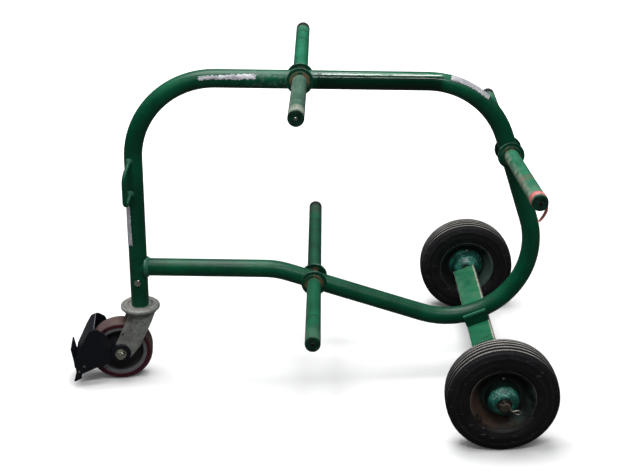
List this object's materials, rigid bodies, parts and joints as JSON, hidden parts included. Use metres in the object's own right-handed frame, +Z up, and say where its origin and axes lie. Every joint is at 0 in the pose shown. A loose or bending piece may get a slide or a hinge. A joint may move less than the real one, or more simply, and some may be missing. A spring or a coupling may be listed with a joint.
{
  "type": "wheeled wire reel cart",
  "caption": "Bent-tube hand cart that stands as a loop and carries wire reels on crosswise spindles, rolling on a braked swivel caster and rear wheels.",
  "frame": {"origin": "on the floor, in the middle of the cart's plan, halfway between the toe of the brake and the back of the frame tube", "axes": "+X from the swivel caster towards the rear wheels, +Y to the side of the rear wheel without the taped spindle, +Z up; -Y is the cart's left side, which has the taped spindle"},
  "size_m": [1.1325, 0.816, 0.779],
  "materials": {
    "frame_paint": "gloss dark green enamel, scratched",
    "spindle_paint": "worn green enamel, scuffed by reels",
    "flange_paint": "dark green enamel worn through on the rims",
    "cap_paint": "dark green enamel",
    "member_paint": "green enamel worn bare and dusty along the edges",
    "bell_paint": "teal green enamel, dusty",
    "rim_paint": "dark enamel under road dust",
    "tyre_rubber": "black rubber, dusty ribbed tread",
    "caster_urethane": "maroon urethane, worn beige where it rolls",
    "caster_core_grey": "grey painted casting",
    "galvanised": "dull mottled zinc",
    "brake_black": "satin black",
    "zinc_steel": "zinc plated",
    "rusted_steel": "bare steel with brown rust",
    "tape": "faded red adhesive tape"
  },
  "bodies": {
    "frame": {"axle": "rusted_steel", "axle_spacers": "rusted_steel", "cap_screws": "zinc_steel", "caster_stem": "zinc_steel", "cross_member": "member_paint", "frame_tube": "frame_paint", "hairpin_clips": "zinc_steel", "king_nut": "zinc_steel", "king_pin": "zinc_steel", "lower_flanges": "flange_paint", "lower_spindle_left": "spindle_paint", "lower_spindle_right": "spindle_paint", "member_end_plates": "member_paint", "pull_loop": "frame_paint", "rear_flanges": "flange_paint", "rear_spindle_left": "spindle_paint", "rear_spindle_right": "spindle_paint", "saddle_plates": "member_paint", "spindle_caps": "cap_paint", "spindle_pins": "rusted_steel", "stem_bolt": "zinc_steel", "stem_nut": "zinc_steel", "swivel_plate": "galvanised", "tape_band": "tape", "top_flanges": "flange_paint", "top_spindle_left": "spindle_paint", "top_spindle_right": "spindle_paint", "weld_beads": "frame_paint"},
    "caster_swivel": {"fork": "galvanised", "swivel_balls": "zinc_steel", "axle_sleeve": "zinc_steel", "brake_bushings": "zinc_steel", "axle_washers": "zinc_steel", "caster_bolt": "zinc_steel", "caster_nut": "zinc_steel"},
    "caster_wheel": {"caster_tread": "caster_urethane", "caster_core": "caster_core_grey", "caster_bearing": "zinc_steel"},
    "brake": {"brake_cheek_left": "brake_black", "brake_cheek_right": "brake_black", "brake_hood": "brake_black", "brake_pedal": "brake_black", "brake_shoe": "brake_black", "brake_cross_pins": "zinc_steel"},
    "wheel_left": {"hub_bells_left": "bell_paint", "hub_rivets_left": "zinc_steel", "hub_tube_left": "zinc_steel", "rim_inner_left": "rim_paint", "rim_outer_left": "rim_paint", "tyre_left": "tyre_rubber", "wheel_bearings_left": "zinc_steel"},
    "wheel_right": {"hub_bells_right": "bell_paint", "hub_rivets_right": "zinc_steel", "hub_tube_right": "zinc_steel", "rim_inner_right": "rim_paint", "rim_outer_right": "rim_paint", "tyre_right": "tyre_rubber", "wheel_bearings_right": "zinc_steel"}
  },
  "joints": [
    {"name": "caster_swivel_turn", "type": "hinge", "parent": "frame", "child": "caster_swivel", "pos_m": [-0.38965, 0, 0.18703], "axis": [0.0375, 0, 0.9993], "continuous": true},
    {"name": "caster_wheel_turn", "type": "hinge", "parent": "caster_swivel", "child": "caster_wheel", "pos_m": [-0.44397, -0.00615, 0.07619], "axis": [-0.1218, 0.9925, 0.0046], "continuous": true},
    {"name": "brake_lift", "type": "hinge", "parent": "caster_swivel", "child": "brake", "pos_m": [-0.44397, -0.00615, 0.07619], "axis": [-0.1218, 0.9925, 0.0046], "range_deg": [0, 18]},
    {"name": "wheel_left_turn", "type": "hinge", "parent": "frame", "child": "wheel_left", "pos_m": [0.43519, -0.3504, 0.1223], "axis": [0, 1, 0], "continuous": true},
    {"name": "wheel_right_turn", "type": "hinge", "parent": "frame", "child": "wheel_right", "pos_m": [0.43519, 0.3504, 0.1223], "axis": [0, 1, 0], "continuous": true}
  ]
}
